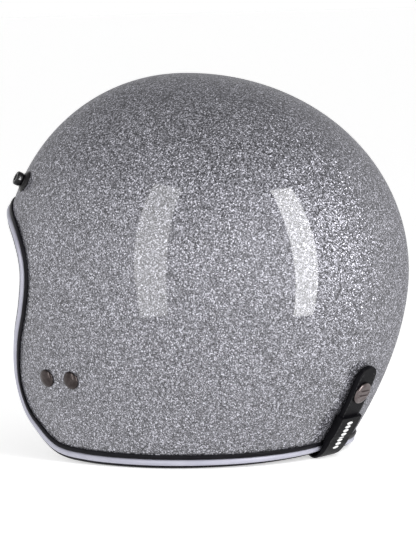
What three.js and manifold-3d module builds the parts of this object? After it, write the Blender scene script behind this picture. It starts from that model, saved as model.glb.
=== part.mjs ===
// Open face motorcycle helmet: fibreglass shell with a two-piece edge trim, foam and fabric lining,
// riveted chin strap with two D-rings, three front snaps and a rear goggle strap.
// Millimetres. The face looks along -Y, the wearer's left is +X, up is +Z, and the base is z = 0.
import * as THREE from 'three';
import { mergeVertices } from 'three/addons/utils/BufferGeometryUtils.js';
import Module from 'manifold-3d';

// ---------------------------------------------------------------- driving dimensions
const CROWN_Y = -25.7;         // where the vertical axis through the crown stands
const SIDE = 116;              // half width at the girth
const FRONT = 107;             // crown axis to the front of the girth
const REAR = 154.5;            // crown axis to the back of the girth
const GIRTH_Z = 117.5;         // height of the widest section
const CROWN_RISE = 127;        // girth to crown
const FRONT_POWER = 2.5;       // squareness of the front half seen from above
const REAR_POWER = 2.1;        // and of the rear half
const DOME_POWER = 2.04;       // squareness of the dome seen from the side
const TUCK_POWER = 1.82;       // how late the walls tuck in below the girth
const TUCK = { front: 0, rear: 0.337, side: 0.2 };   // tuck at the base, as a part of the radius
const WALL = 3.5;              // shell thickness
const FOAM_OUT = 5.6;          // depths below the shell's outer face
const FOAM_IN = 29;
const LINER_GAP = 0.6;         // between the foam and the fabric lining
const LINER_IN = 36.5;
const NAPE_Z = 9.6;            // height of the shell's edge at the middle of the nape

// Edges as [azimuth, height], from the middle of the brow (0) to the middle of the nape (180).
const SHELL_EDGE = [
  [0, 167], [24, 166.5], [42, 163.5], [54, 157.3], [62.5, 148], [68.2, 134], [69.8, 118], [67, 97.5],
  [60.6, 75.6], [54.7, 51.6], [55.8, 34], [61.7, 22], [70, 11], [84, 7.8], [105, 7], [130, 7],
  [150, 7.3], [167, 8.3], [180, NAPE_Z],
];
const FOAM_EDGE = [
  [0, 176], [24, 175.5], [42, 172], [56, 164], [66, 151], [72.5, 135], [75, 118], [77, 98], [84, 84],
  [95, 78], [112, 72], [130, 60], [150, 52], [180, 49],
];

const STRAP_AZIMUTH = 79.5;    // middle of the chin strap's hanger
const RIVET_Z = 55.4;
const RIVET_SPREAD = 5.6;      // degrees from the middle of the hanger to each rivet
const RIVET_HEAD = 5.85;       // radius
const RIVET_HOLE = 3;          // radius through the plates; the shell's holes are under HOLE
const WEBBING = { width: 22, thickness: 1.6 };
const SNAPS = [['centre', 0, 186], ['left', 55, 178.6], ['right', -55, 178.6]];
const GOGGLE_SNAP_Z = 45;
const GOGGLE_STRAP = { width: 20, thickness: 1.8, height: 3.6, top: 61 };
const GOGGLE_SLEEVE = { width: 23, thickness: 5.4, height: 4, top: 30, foot: 16.4 };
const HEM_Z = 14.6;            // the goggle strap folds here
const ANCHOR_Z = 25;           // rivet that holds the goggle strap's lower end

// ---------------------------------------------------------------- the shell's outer surface
const rad = (degrees) => degrees * Math.PI / 180;

function planRadius(azimuth) {
  const c = Math.cos(rad(azimuth));
  const s = Math.sin(rad(azimuth));
  const power = c > 0 ? FRONT_POWER : REAR_POWER;
  const reach = c > 0 ? FRONT : REAR;
  return (Math.abs(c / reach) ** power + Math.abs(s / SIDE) ** power) ** (-1 / power);
}

// level runs 0 at the crown, 1 at the girth, 2 at the base plane
function surface(azimuth, level) {
  const c = Math.cos(rad(azimuth));
  const s = Math.sin(rad(azimuth));
  const plan = planRadius(azimuth);
  let radius;
  let z;
  if (level <= 1) {
    const up = Math.cos(level * Math.PI / 2);
    const out = Math.sin(level * Math.PI / 2);
    const ray = ((up / CROWN_RISE) ** DOME_POWER + (out / plan) ** DOME_POWER) ** (-1 / DOME_POWER);
    radius = ray * out;
    z = GIRTH_Z + ray * up;
  } else {
    const tuck = TUCK.side + ((c > 0 ? TUCK.front : TUCK.rear) - TUCK.side) * Math.abs(c) ** 3;
    radius = plan * (1 - tuck * (level - 1) ** TUCK_POWER);
    z = GIRTH_Z * (2 - level);
  }
  return new THREE.Vector3(radius * s, CROWN_Y - radius * c, z);
}

function levelAt(azimuth, z) {
  if (z <= GIRTH_Z) return 2 - z / GIRTH_Z;
  const rise = (z - GIRTH_Z) / CROWN_RISE;
  const radius = planRadius(azimuth) * (1 - rise ** DOME_POWER) ** (1 / DOME_POWER);
  return Math.atan2(radius, z - GIRTH_Z) / (Math.PI / 2);
}

function outward(azimuth, level) {
  const step = 1e-3;
  if (level < step) return new THREE.Vector3(0, 0, 1);
  const around = surface(azimuth + step, level).sub(surface(azimuth - step, level));
  const down = surface(azimuth, level + step).sub(surface(azimuth, level - step));
  return new THREE.Vector3().crossVectors(down, around).normalize();
}

// a point at a height above the surface, or at a depth below it when height is negative
function above(azimuth, level, height) {
  return surface(azimuth, level).addScaledVector(outward(azimuth, level), height);
}

// ---------------------------------------------------------------- builders
const wasm = await Module();
wasm.setup();

function toSolid(geometry) {
  const bare = geometry.clone();
  bare.deleteAttribute('normal');
  bare.deleteAttribute('uv');
  const merged = mergeVertices(bare, 1e-4);
  return new wasm.Manifold(new wasm.Mesh({
    numProp: 3,
    vertProperties: new Float32Array(merged.attributes.position.array),
    triVerts: new Uint32Array(merged.index.array),
  }));
}

function toGeometry(solid) {
  const mesh = solid.getMesh();
  const geometry = new THREE.BufferGeometry();
  geometry.setAttribute('position', new THREE.BufferAttribute(mesh.vertProperties, 3));
  geometry.setIndex(new THREE.BufferAttribute(mesh.triVerts, 1));
  return geometry;
}

function cut(geometry, ...cutters) {
  let solid = toSolid(geometry);
  for (const cutter of cutters) solid = solid.subtract(toSolid(cutter));
  return toGeometry(solid);
}

function indexed(points, triangles) {
  const geometry = new THREE.BufferGeometry();
  const numbers = points.flatMap((p) => p.toArray());
  geometry.setAttribute('position', new THREE.Float32BufferAttribute(numbers, 3));
  geometry.setIndex(triangles);
  return geometry;
}

// Catmull-Rom curve through a half edge and its mirror image, as a closed ring of [azimuth, height]
function closedEdge(half, steps) {
  const mirrored = half.slice(1, -1).reverse().map(([a, z]) => [360 - a, z]);
  const ring = [...half, ...mirrored];
  const count = ring.length;
  const knot = (i) => {
    const [a, z] = ring[(i + count) % count];
    return [a + 360 * Math.floor(i / count), z];
  };
  const blend = (p, u) => {
    const square = 2 * p[0] - 5 * p[1] + 4 * p[2] - p[3];
    const cube = 3 * p[1] - p[0] - 3 * p[2] + p[3];
    return 0.5 * (2 * p[1] + (p[2] - p[0]) * u + square * u ** 2 + cube * u ** 3);
  };
  const edge = [];
  for (let i = 0; i < count; i++) {
    const near = [i - 1, i, i + 1, i + 2].map(knot);
    for (let k = 0; k < steps; k++) {
      edge.push([0, 1].map((axis) => blend(near.map((p) => p[axis]), k / steps)));
    }
  }
  return edge;
}

// Triangles of two layers of rings round a middle point, joined at their last ring. Each layer's points
// are its middle and then its rings, from the inside out.
function layers(count, rows) {
  const inside = 1 + rows * count;
  const triangles = [];
  for (let i = 0; i < count; i++) {
    const j = (i + 1) % count;
    triangles.push(0, 1 + i, 1 + j, inside, inside + 1 + j, inside + 1 + i);
    for (let row = 0; row < rows - 1; row++) {
      const a = 1 + row * count;
      const b = a + count;
      triangles.push(a + i, b + i, b + j, a + i, b + j, a + j);
      triangles.push(inside + a + i, inside + b + j, inside + b + i);
      triangles.push(inside + a + i, inside + a + j, inside + b + j);
    }
    const rim = 1 + (rows - 1) * count;
    triangles.push(rim + i, inside + rim + i, inside + rim + j, rim + i, inside + rim + j, rim + j);
  }
  return triangles;
}

// A dome between two heights above the surface, from the crown down to a closed edge. Its columns leave
// the crown turned towards the back, so that they meet the edge beside the face without crossing.
const LEAD = [40, 20];
const ROW_CROWDING = 1.3;      // rows stand closer together towards the edge
function dome(edge, rows, high, low) {
  const count = edge.length;
  const points = [];
  for (const height of [high, low]) {
    points.push(above(0, 0, height));
    for (let row = 1; row <= rows; row++) {
      const s = 1 - (1 - row / rows) ** ROW_CROWDING;
      edge.forEach(([azimuth, z], i) => {
        const turn = 360 * i / count;
        const start = turn + LEAD[0] * Math.sin(rad(turn)) + LEAD[1] * Math.sin(rad(2 * turn));
        points.push(above(start + (azimuth - start) * s ** 2, levelAt(azimuth, z) * s, height));
      });
    }
  }
  return indexed(points, layers(count, rows));
}

// Places along an edge, each with the direction out of the surface and the one that leaves the shell
function stations(edge, closed) {
  const count = edge.length;
  const feet = edge.map(([a, z]) => surface(a, levelAt(a, z)));
  return edge.map(([a, z], i) => {
    const before = closed ? (i + count - 1) % count : Math.max(i - 1, 0);
    const after = closed ? (i + 1) % count : Math.min(i + 1, count - 1);
    const out = outward(a, levelAt(a, z));
    const along = feet[after].clone().sub(feet[before]);
    const beyond = new THREE.Vector3().crossVectors(along, out).normalize();
    return { foot: feet[i], out, beyond };
  });
}

// Sweeps a section, drawn as [distance beyond the edge, height above the surface], along stations
function sweep(places, section, closed) {
  const size = section.length;
  const points = places.flatMap(({ foot, out, beyond }) => section.map(([e, n]) => foot.clone()
    .addScaledVector(beyond, e).addScaledVector(out, n)));
  const triangles = [];
  const spans = closed ? places.length : places.length - 1;
  for (let i = 0; i < spans; i++) {
    const a = i * size;
    const b = ((i + 1) % places.length) * size;
    for (let k = 0; k < size; k++) {
      const next = (k + 1) % size;
      triangles.push(a + k, b + next, b + k, a + k, a + next, b + next);
    }
  }
  if (!closed) {
    const outline = section.map(([e, n]) => new THREE.Vector2(e, n));
    const last = (places.length - 1) * size;
    for (const [p, q, r] of THREE.ShapeUtils.triangulateShape(outline, [])) {
      triangles.push(p, r, q, last + p, last + q, last + r);
    }
  }
  return facingOut(indexed(points, triangles));
}

function facingOut(geometry) {
  const { array } = geometry.attributes.position;
  const { array: index } = geometry.index;
  const corner = (i) => new THREE.Vector3().fromArray(array, 3 * index[i]);
  let volume = 0;
  for (let i = 0; i < index.length; i += 3) {
    volume += corner(i).dot(corner(i + 1).cross(corner(i + 2)));
  }
  if (volume < 0) {
    for (let i = 0; i < index.length; i += 3) [index[i], index[i + 1]] = [index[i + 1], index[i]];
  }
  return geometry;
}

// A closed slab that follows the surface, over an outline of [azimuth, height] round its middle
function patch(middle, outline, rows, high, low) {
  const count = outline.length;
  const points = [];
  for (const height of [high, low]) {
    for (let row = 0; row <= rows; row++) {
      const s = row / rows;
      (row === 0 ? [middle] : outline).forEach(([a, z]) => {
        const azimuth = middle[0] + (a - middle[0]) * s;
        const rise = middle[1] + (z - middle[1]) * s;
        points.push(above(azimuth, levelAt(azimuth, rise), height(s, azimuth, rise)));
      });
    }
  }
  return facingOut(indexed(points, layers(count, rows)));
}

// Turned pieces: a profile of [radius, height] that starts and ends on the axis
function turned(profile, sides = 12) {
  const lathe = new THREE.LatheGeometry(profile.map(([r, h]) => new THREE.Vector2(r, h)), sides);
  lathe.rotateX(Math.PI / 2);
  lathe.deleteAttribute('normal');
  lathe.deleteAttribute('uv');
  return facingOut(mergeVertices(lathe, 1e-4));
}

function standOn(object, azimuth, z) {
  const level = levelAt(azimuth, z);
  object.position.copy(surface(azimuth, level));
  object.quaternion.setFromUnitVectors(new THREE.Vector3(0, 0, 1), outward(azimuth, level));
  object.updateMatrix();
  return object;
}

function drill(azimuth, z, radius, depth = 20) {
  const pin = standOn(new THREE.Object3D(), azimuth, z);
  const bit = new THREE.CylinderGeometry(radius, radius, depth, 10);
  return bit.rotateX(Math.PI / 2).applyMatrix4(pin.matrix);
}

// A flat ribbon of webbing or leather: the outline on both sides of a path in a vertical plane
function ribbon(path, thickness, width) {
  const side = (sign) => path.map(([u, v], i) => {
    const [u0, v0] = path[Math.max(i - 1, 0)];
    const [u1, v1] = path[Math.min(i + 1, path.length - 1)];
    const length = Math.hypot(u1 - u0, v1 - v0);
    const shift = sign * thickness / 2 / length;
    return new THREE.Vector2(u - (v1 - v0) * shift, v + (u1 - u0) * shift);
  });
  const shape = new THREE.Shape([...side(1), ...side(-1).reverse()]);
  const geometry = new THREE.ExtrudeGeometry(shape, { depth: width, bevelEnabled: false, curveSegments: 1 });
  return geometry.translate(0, 0, -width / 2);
}

// A round wire bent along a closed flat path of [x, y]
function wireRing(path, radius, sides = 8) {
  const count = path.length;
  const points = [];
  path.forEach(([x, y], i) => {
    const [x0, y0] = path[(i + count - 1) % count];
    const [x1, y1] = path[(i + 1) % count];
    const side = new THREE.Vector3(y1 - y0, x0 - x1, 0).normalize();
    for (let k = 0; k < sides; k++) {
      const turn = 2 * Math.PI * k / sides;
      const point = new THREE.Vector3(x, y, radius * Math.sin(turn));
      points.push(point.addScaledVector(side, radius * Math.cos(turn)));
    }
  });
  const triangles = [];
  for (let i = 0; i < count; i++) {
    const a = i * sides;
    const b = ((i + 1) % count) * sides;
    for (let k = 0; k < sides; k++) {
      const next = (k + 1) % sides;
      triangles.push(a + k, b + k, b + next, a + k, b + next, a + next);
    }
  }
  return facingOut(indexed(points, triangles));
}

// ---------------------------------------------------------------- materials
function finish(color, roughness, metalness = 0) {
  return () => new THREE.MeshStandardMaterial({ color, roughness, metalness });
}
const flakePaint = finish(0x9a9ca4, 0.25, 0.4);
const blackRubber = finish(0x141318, 0.55);
const silverVinyl = finish(0xb9b8cc, 0.35, 0.2);
const greyFoam = finish(0x2b2b2e, 0.9);
const quilt = finish(0x1d1d20, 0.85);
const suede = finish(0x232326, 0.9);
const gunmetal = finish(0x40363a, 0.3, 0.9);
const blackMetal = finish(0x17161a, 0.4, 0.7);
const steel = finish(0xa8a9ad, 0.3, 1);
const blackWebbing = finish(0x18181b, 0.85);
const blackLeather = finish(0x17161b, 0.6);

const group = new THREE.Group();

function add(name, geometry, material, place) {
  const mesh = new THREE.Mesh(geometry, material());
  mesh.name = name;
  if (place) place(mesh);
  group.add(mesh);
}

// ---------------------------------------------------------------- shell and edge trim
const RIVETS = [
  ['left_front', STRAP_AZIMUTH - RIVET_SPREAD], ['left_rear', STRAP_AZIMUTH + RIVET_SPREAD],
  ['right_front', -STRAP_AZIMUTH + RIVET_SPREAD], ['right_rear', -STRAP_AZIMUTH - RIVET_SPREAD],
];
const HOLE = { rivet: 2.9, snap: 2.4, goggle: 2.4, anchor: 2.4 };

const shellEdge = closedEdge(SHELL_EDGE, 2);
const shellHoles = [
  ...RIVETS.map(([, azimuth]) => drill(azimuth, RIVET_Z, HOLE.rivet)),
  ...SNAPS.map(([, azimuth, z]) => drill(azimuth, z, HOLE.snap)),
  drill(180, GOGGLE_SNAP_Z, HOLE.goggle),
  drill(180, ANCHOR_Z, HOLE.anchor),
];
add('outer_shell', cut(dome(shellEdge, 12, 0, -WALL), ...shellHoles), flakePaint);

// rubber channel over the edge, with a groove that holds the half-round bead
const TRIM_SECTION = [
  [-2.6, 0.5], [-2.4, 1.5], [1.1, 1.6], [1.1, 0.2], [5.3, 0.2], [5.3, 1.4], [7.5, 0.9],
  [6.9, -5], [-6, -6], [-6, -4.8], [0.5, -4.8], [0.5, 0.5],
];
const BEAD_SECTION = [[1.4, 0.5], [1.5, 1.6], [2.5, 2.6], [3.9, 2.6], [4.9, 1.6], [5, 0.5]];
const shellRim = stations(shellEdge, true);
const below = new THREE.BoxGeometry(400, 400, 10).translate(0, 0, -5);
add('edge_trim', cut(sweep(shellRim, TRIM_SECTION, true), below), blackRubber);
add('trim_bead', sweep(shellRim, BEAD_SECTION, true), silverVinyl);

// ---------------------------------------------------------------- lining
const foamEdge = closedEdge(FOAM_EDGE, 2);
add('impact_liner', dome(foamEdge, 7, -FOAM_OUT, -FOAM_IN), greyFoam);
add('crown_liner', dome(foamEdge, 7, -FOAM_IN - LINER_GAP, -LINER_IN), quilt);

// padded roll that covers the foam's edge round the face, from one cheek over the brow to the other
const ROLL_SECTION = [
  [0.6, -8], [0.6, -34], [2.6, -35.5], [4.8, -32.5], [5.4, -24], [5.4, -12], [4.4, -7.4], [2.4, -6.5],
];
const ROLL_END = 8;            // knots of FOAM_EDGE from the brow to each end of the roll
const rollEdge = [...foamEdge.slice(-2 * ROLL_END), ...foamEdge.slice(0, 2 * ROLL_END + 1)];
add('brow_roll', sweep(stations(rollEdge, false), ROLL_SECTION, false), suede);

// cheek pads, from [azimuth, height] outlines on the left side
const CHEEK_MIDDLE = [84, 42];
const CHEEK_OUTLINE = [
  [65, 70], [61, 56], [60.5, 42], [63.5, 28], [70, 17], [80, 12], [93, 11.5], [104, 15], [108, 28], [108, 46],
  [105, 60], [97, 69], [87, 73.5], [76, 74],
];
const PAD_OUT = -10.8;
const padInside = (s) => -33 + 9 * s ** 4;
for (const [side, sign] of [['left', 1], ['right', -1]]) {
  const outline = CHEEK_OUTLINE.map(([a, z]) => [sign * a, z]);
  const middle = [sign * CHEEK_MIDDLE[0], CHEEK_MIDDLE[1]];
  add(`${side}_cheek_pad`, patch(middle, outline, 3, () => PAD_OUT, padInside), suede);
}

const NECK_SECTION = [[0, -11], [0, -26], [5, -29.5], [22, -28], [32, -22], [35, -14], [32, -11]];
const NECK_TOP = 46;
const NECK_REACH = 62;         // degrees from the nape to each end
const neckEdge = Array.from({ length: 19 }, (_, i) => [180 + NECK_REACH * (i / 9 - 1), NECK_TOP]);
add('neck_roll', sweep(stations(neckEdge, false), NECK_SECTION, false), suede);

// ---------------------------------------------------------------- chin strap hangers and rivets
const RIVET_PROFILE = [
  [0, 2.7], [2.2, 2.5], [4, 1.8], [5.4, 0.9], [RIVET_HEAD, 0.35], [2.5, 0.35], [2.5, -6.5], [3.9, -6.6],
  [3.9, -7.6], [0, -8],
];
for (const [name, azimuth] of RIVETS) {
  add(`chin_rivet_${name}`, turned(RIVET_PROFILE), gunmetal, (mesh) => standOn(mesh, azimuth, RIVET_Z));
}

// stamped plate that lies against the shell at the rivets and steps in to clear the webbing at its bar
const PLATE = { halfWidth: 9.5, top: 63.5, bottom: 38.5, thickness: 1.5, depth: 4.7 };
const STEP = { top: 50.5, middle: 48, foot: 45.5, depth: 1.7 };
const SLOT = { low: 42.2, high: 47.2, halfWidth: 11.8, depth: 7 };
const plateDepth = (z) => {
  const step = THREE.MathUtils.smoothstep(STEP.top - z, 0, STEP.top - STEP.foot);
  return -PLATE.depth - STEP.depth * step;
};
function plateGrid(sign) {
  const columns = 4;
  const heights = [PLATE.top, STEP.top, STEP.middle, STEP.foot, PLATE.bottom];
  const points = [];
  for (const drop of [0, PLATE.thickness]) {
    for (const z of heights) {
      for (let i = 0; i <= columns; i++) {
        const azimuth = sign * STRAP_AZIMUTH + PLATE.halfWidth * (2 * i / columns - 1);
        points.push(above(azimuth, levelAt(azimuth, z), plateDepth(z) - drop));
      }
    }
  }
  const across = columns + 1;
  const layer = across * heights.length;
  const triangles = [];
  const quad = (a, b, c, d) => triangles.push(a, b, c, a, c, d);
  for (let r = 0; r < heights.length - 1; r++) {
    for (let i = 0; i < columns; i++) {
      const a = r * across + i;
      quad(a, a + across, a + across + 1, a + 1);
      quad(layer + a, layer + a + 1, layer + a + across + 1, layer + a + across);
    }
    const a = r * across;
    const b = a + columns;
    quad(a, layer + a, layer + a + across, a + across);
    quad(b, b + across, layer + b + across, layer + b);
  }
  const foot = (heights.length - 1) * across;
  for (let i = 0; i < columns; i++) {
    quad(i, i + 1, layer + i + 1, layer + i);
    quad(foot + i, layer + foot + i, layer + foot + i + 1, foot + i + 1);
  }
  return facingOut(indexed(points, triangles));
}

function slotCutter(sign) {
  const middle = (SLOT.low + SLOT.high) / 2;
  const place = new THREE.Object3D();
  place.position.copy(above(sign * STRAP_AZIMUTH, levelAt(STRAP_AZIMUTH, middle), -SLOT.depth));
  place.rotation.z = sign > 0 ? 0 : Math.PI;
  place.updateMatrix();
  const block = new THREE.BoxGeometry(2 * SLOT.depth, 2 * SLOT.halfWidth, SLOT.high - SLOT.low);
  return block.applyMatrix4(place.matrix);
}

// Each strap lies in a vertical plane square to the shell at its hanger. There u runs outwards from the
// middle of the helmet and v is the height. The right strap is the left one's mirror image.
const STRAP_TURN = 5.5;        // degrees from straight across to the strap's plane
const slotFoot = surface(STRAP_AZIMUTH, levelAt(STRAP_AZIMUTH, SLOT.low));
const outwards = new THREE.Vector3(Math.cos(rad(STRAP_TURN)), -Math.sin(rad(STRAP_TURN)), 0);
const strapOrigin = slotFoot.clone().addScaledVector(outwards, -slotFoot.x).setZ(0);

function strapPlane(sign) {
  const place = new THREE.Matrix4().makeRotationZ(sign > 0 ? -rad(STRAP_TURN) : Math.PI + rad(STRAP_TURN));
  return place.setPosition(sign * strapOrigin.x, strapOrigin.y, 0);
}

function hung(z, depth) {
  const point = above(STRAP_AZIMUTH, levelAt(STRAP_AZIMUTH, z), -depth);
  return [point.clone().sub(strapOrigin).dot(outwards), point.z];
}

const BAR_Z = (PLATE.bottom + SLOT.low) / 2;
const FLOOR_PATH = 1.5;        // middle of the webbing where it lies on the base plane
const STRAP_HINGE = 74;        // how far out the straps fold where they leave the helmet
const upperPath = [
  [27, 9.7], [BAR_Z, 9.7], [BAR_Z + 2.6, 9.4], [BAR_Z + 3.7, 8.4], [BAR_Z + 4, 7.2], [BAR_Z + 3.7, 6.1],
  [BAR_Z + 2.6, 5.3], [BAR_Z, 5.1], [36, 5.1], [28, 6], [19, 7.2], [12, 8.4], [5.5, 10.4],
].map(([z, depth]) => hung(z, depth));
upperPath.push([STRAP_HINGE + 5, 3], [STRAP_HINGE + 0.4, FLOOR_PATH]);

// webbing drawn as a path of [u, v], set in its plane
function webbing(path, sign) {
  return ribbon(path, WEBBING.thickness, WEBBING.width).rotateX(Math.PI / 2).applyMatrix4(strapPlane(sign));
}

for (const [side, sign] of [['left', 1], ['right', -1]]) {
  const azimuths = [-RIVET_SPREAD, RIVET_SPREAD].map((a) => sign * STRAP_AZIMUTH + a);
  const holes = azimuths.map((a) => drill(a, RIVET_Z, RIVET_HOLE));
  add(`${side}_strap_hanger`, cut(plateGrid(sign), slotCutter(sign), ...holes), steel);
  add(`${side}_strap_upper`, webbing(upperPath, sign), blackWebbing);
}

// ---------------------------------------------------------------- chin strap, free parts
const LAYER = 2;               // from one layer of folded webbing to the next
const RING = { wire: 1.4, halfWidth: 14, reach: 17, u: 31, lower: 4.1, upper: 7.3 };
const shortPath = [
  [STRAP_HINGE - 0.2, FLOOR_PATH], [RING.u, FLOOR_PATH], [RING.u - 3.4, 2.6], [RING.u - 4.6, 5.7],
  [RING.u - 3.4, 8.8], [RING.u, 9.9], [RING.u + 5, 9.4], [RING.u + 12, 5.6], [RING.u + 17, 3.7],
  [RING.u + 27, FLOOR_PATH + LAYER],
];
add('short_strap', webbing(shortPath, 1), blackWebbing);

const bow = Array.from({ length: 9 }, (_, i) => {
  const turn = Math.PI * (i / 8 - 0.5);
  return [RING.u - 3 - (RING.reach - 3) * Math.cos(turn), RING.halfWidth * Math.sin(turn)];
});
const ringPath = [[RING.u, -RING.halfWidth + 1.5], ...bow, [RING.u, RING.halfWidth - 1.5]];
for (const [name, z] of [['lower', RING.lower], ['upper', RING.upper]]) {
  const ring = wireRing(ringPath, RING.wire).translate(0, 0, z).applyMatrix4(strapPlane(1));
  add(`d_ring_${name}`, ring, steel);
}

const FOLD = -4;               // the long strap passes the middle and folds back on itself here
const TAIL_END = 62;
add('long_strap', webbing([[STRAP_HINGE - 0.2, FLOOR_PATH], [FOLD, FLOOR_PATH]], -1), blackWebbing);
add('strap_tail', webbing([[FOLD, FLOOR_PATH + LAYER], [TAIL_END, FLOOR_PATH + LAYER]], -1), blackWebbing);

// snap near the tail's end, and the stud it closes on when the strap is fastened
const TAIL_CAP = [[0, 0.3], [5.6, 0.3], [5.8, 0.8], [4.8, 1.8], [0, 2.2]];
const STRAP_STUD = [[0, 0.3], [4, 0.3], [4, 0.8], [2, 1], [2, 1.8], [2.3, 2.2], [1.9, 2.7], [0, 2.7]];
const STRAP_SNAPS = [['tail_snap_cap', TAIL_CAP, 55, LAYER], ['strap_snap_stud', STRAP_STUD, 68, 0]];
for (const [name, profile, u, layer] of STRAP_SNAPS) {
  const top = FLOOR_PATH + layer + WEBBING.thickness / 2;
  add(name, turned(profile).translate(u, 0, top).applyMatrix4(strapPlane(-1)), gunmetal);
}

// ---------------------------------------------------------------- front snaps
const WASHER = [[2.6, 0.35], [7.1, 0.35], [7.35, 0.8], [6.4, 1.9], [2.6, 1.9], [2.6, 0.35]];
const STUD = [
  [0, -3.2], [2.1, -3.2], [2.1, 2.2], [3.7, 2.2], [3.7, 3], [4.5, 3.4], [4.5, 6.2], [3.9, 6.9], [1.6, 6.9],
  [1.6, 4.4], [0, 4.4],
];
for (const [name, azimuth, z] of SNAPS) {
  add(`snap_washer_${name}`, turned(WASHER), blackMetal, (mesh) => standOn(mesh, azimuth, z));
  add(`snap_stud_${name}`, turned(STUD), blackMetal, (mesh) => standOn(mesh, azimuth, z));
}

// ---------------------------------------------------------------- rear goggle strap
const REAR_AZIMUTH = 180;
function behind(z, height) {
  const point = above(REAR_AZIMUTH, levelAt(REAR_AZIMUTH, z), height);
  return [point.y, point.z];
}

// a ribbon drawn in y and z, with its width across the helmet
function acrossHelmet(path, thickness, width) {
  const turn = new THREE.Matrix4().makeBasis(
    new THREE.Vector3(0, 1, 0), new THREE.Vector3(0, 0, 1), new THREE.Vector3(1, 0, 0));
  return ribbon(path, thickness, width).applyMatrix4(turn);
}

const spaced = (top, foot, i, count) => top + (foot - top) * i / (count - 1);
const levels = (top, foot, count) => Array.from({ length: count }, (_, i) => spaced(top, foot, i, count));
const strapPath = levels(GOGGLE_STRAP.top, HEM_Z, 8).map((z) => behind(z, GOGGLE_STRAP.height));
const sleeveLevels = levels(GOGGLE_SLEEVE.top, GOGGLE_SLEEVE.foot, 4);
const sleevePath = sleeveLevels.map((z) => behind(z, GOGGLE_SLEEVE.height));
const tunnelPath = levels(GOGGLE_SLEEVE.top + 4, HEM_Z - 4, 6).map((z) => behind(z, GOGGLE_STRAP.height));
const TUNNEL_ROOM = 0.7;
const SNAP_HOLE = 4.8;         // radius through the leather, round the snap's stud and socket
const leatherStrip = (path) => acrossHelmet(path, GOGGLE_STRAP.thickness, GOGGLE_STRAP.width);
const snapHole = drill(REAR_AZIMUTH, GOGGLE_SNAP_Z, SNAP_HOLE);
add('goggle_strap', cut(leatherStrip(strapPath), snapHole), blackLeather);
const sleeve = acrossHelmet(sleevePath, GOGGLE_SLEEVE.thickness, GOGGLE_SLEEVE.width);
const tunnel = acrossHelmet(
  tunnelPath, GOGGLE_STRAP.thickness + TUNNEL_ROOM, GOGGLE_STRAP.width + TUNNEL_ROOM);
add('goggle_sleeve', cut(sleeve, tunnel), blackLeather);

// the strap's lower end goes under the trim and up inside the shell: [beyond the edge, above the surface]
const HEM_PATH = [
  [1, 4.4], [4.6, 4.3], [8.2, 2.8], [9.9, 0.4], [10.2, -3], [9, -7.6], [4, -9.4], [-2, -9], [-10, -8],
  [-18, -7.2], [-26, -7],
];
const napeEdge = [-1, 0, 1].map((a) => [REAR_AZIMUTH + a, NAPE_Z]);
const [, rear] = stations(napeEdge, false);
const hemPath = HEM_PATH.map(([e, n]) => {
  const point = rear.foot.clone().addScaledVector(rear.beyond, e).addScaledVector(rear.out, n);
  return [point.y, point.z];
});
hemPath.unshift(behind(HEM_Z - 0.4, GOGGLE_STRAP.height + 0.2));
const ANCHOR_HOLE = 2.6;
const anchorHole = drill(REAR_AZIMUTH, ANCHOR_Z, ANCHOR_HOLE, 40);
add('goggle_strap_hem', cut(leatherStrip(hemPath), anchorHole), blackLeather);

const ANCHOR_RIVET = [[0, 0.9], [4, 0.9], [4, 0.3], [2.1, 0.3], [2.1, -8.4], [4, -8.4], [4, -9.2], [0, -9.5]];
const GOGGLE_STUD = [
  [0, -3.2], [2.1, -3.2], [2.1, 0.35], [5.5, 0.35], [5.5, 0.9], [2.9, 1.1], [2.9, 2.6], [3.2, 3.1],
  [2.8, 3.8], [0, 3.9],
];
const SOCKET = [[3.6, 1.3], [6.2, 1.3], [6.2, 2.1], [4.4, 2.3], [3.6, 2.3], [3.6, 1.3]];
const CAP = [
  [0, 4.9], [3.6, 4.9], [3.6, 2.6], [4.4, 2.6], [4.4, 4.8], [7.2, 4.8], [7.5, 5.3], [7.2, 6.2], [6.2, 6.9],
  [0, 7.2],
];
const REAR_FITTINGS = [
  ['goggle_stud', GOGGLE_STUD, GOGGLE_SNAP_Z], ['goggle_anchor_rivet', ANCHOR_RIVET, ANCHOR_Z],
  ['goggle_snap_socket', SOCKET, GOGGLE_SNAP_Z], ['goggle_snap_cap', CAP, GOGGLE_SNAP_Z],
];
for (const [name, profile, z] of REAR_FITTINGS) {
  add(name, turned(profile), gunmetal, (mesh) => standOn(mesh, REAR_AZIMUTH, z));
}

export default group;
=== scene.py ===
# Open face motorcycle helmet: the visual model, in metres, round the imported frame.
# Lengths in the formulas below are millimetres, and become metres where a mesh is made.
import math
import bmesh
import bpy
import numpy as np
from mathutils import Matrix, Vector
from mathutils.kdtree import KDTree


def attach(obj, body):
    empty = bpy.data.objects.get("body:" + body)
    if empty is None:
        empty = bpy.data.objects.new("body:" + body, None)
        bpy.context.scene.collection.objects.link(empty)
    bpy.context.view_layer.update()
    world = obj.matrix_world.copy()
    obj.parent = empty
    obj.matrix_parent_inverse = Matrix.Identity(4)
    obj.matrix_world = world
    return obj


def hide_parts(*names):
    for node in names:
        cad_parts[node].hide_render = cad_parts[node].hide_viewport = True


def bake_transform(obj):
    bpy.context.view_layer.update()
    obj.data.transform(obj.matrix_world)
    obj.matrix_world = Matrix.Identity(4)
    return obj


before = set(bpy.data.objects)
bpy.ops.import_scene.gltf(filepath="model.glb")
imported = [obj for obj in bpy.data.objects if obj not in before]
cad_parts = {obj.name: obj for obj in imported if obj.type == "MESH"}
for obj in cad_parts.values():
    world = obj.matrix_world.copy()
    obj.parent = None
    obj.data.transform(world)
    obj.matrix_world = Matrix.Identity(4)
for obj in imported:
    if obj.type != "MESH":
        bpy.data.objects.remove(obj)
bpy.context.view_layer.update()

MM = 0.001

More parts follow.
